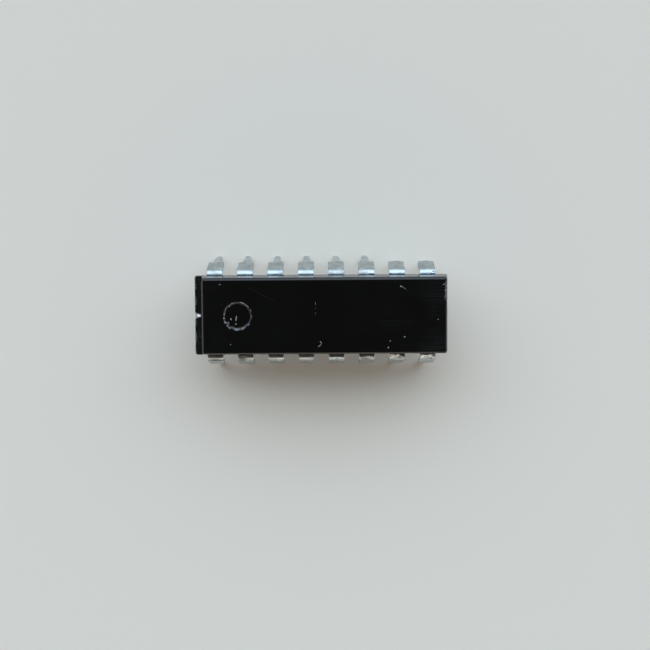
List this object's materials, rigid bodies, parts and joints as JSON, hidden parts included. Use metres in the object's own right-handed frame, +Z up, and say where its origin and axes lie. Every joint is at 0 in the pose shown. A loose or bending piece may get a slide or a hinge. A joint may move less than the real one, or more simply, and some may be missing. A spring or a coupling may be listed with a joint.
{
  "type": "dual in-line integrated circuit",
  "caption": "Moulded plastic integrated circuit with two rows of formed leads, a notched key end and a round pin 1 mark.",
  "frame": {"origin": "middle of the lead pattern, at the level of the lead tips that the chip stands on", "axes": "+X along the case from the notched key end to the plain end, +Y across the case to the row of leads 9 to 16, +Z up out of the top face"},
  "size_m": [0.0208, 0.0094, 0.0073],
  "materials": {
    "moulded_epoxy": "moulded black epoxy, glossy from handling",
    "tinned_lead": "hot-tinned, uneven, slightly dull",
    "tinned_frame": "stamped and plated",
    "die_adhesive": "silver-filled adhesive",
    "silicon": "polished silicon",
    "bond_wire": "drawn wire"
  },
  "bodies": {
    "root": {"package_body": "moulded_epoxy", "die_paddle": "tinned_frame", "die_bond": "die_adhesive", "silicon_die": "silicon", "lead_01": "tinned_lead", "lead_02": "tinned_lead", "lead_03": "tinned_lead", "lead_04": "tinned_lead", "lead_05": "tinned_lead", "lead_06": "tinned_lead", "lead_07": "tinned_lead", "lead_08": "tinned_lead", "lead_09": "tinned_lead", "lead_10": "tinned_lead", "lead_11": "tinned_lead", "lead_12": "tinned_lead", "lead_13": "tinned_lead", "lead_14": "tinned_lead", "lead_15": "tinned_lead", "lead_16": "tinned_lead", "bond_wire_01": "bond_wire", "bond_wire_02": "bond_wire", "bond_wire_03": "bond_wire", "bond_wire_04": "bond_wire", "bond_wire_05": "bond_wire", "bond_wire_06": "bond_wire", "bond_wire_07": "bond_wire", "bond_wire_08": "bond_wire", "bond_wire_09": "bond_wire", "bond_wire_10": "bond_wire", "bond_wire_11": "bond_wire", "bond_wire_12": "bond_wire", "bond_wire_13": "bond_wire", "bond_wire_14": "bond_wire", "bond_wire_15": "bond_wire", "bond_wire_16": "bond_wire"}
  },
  "joints": []
}
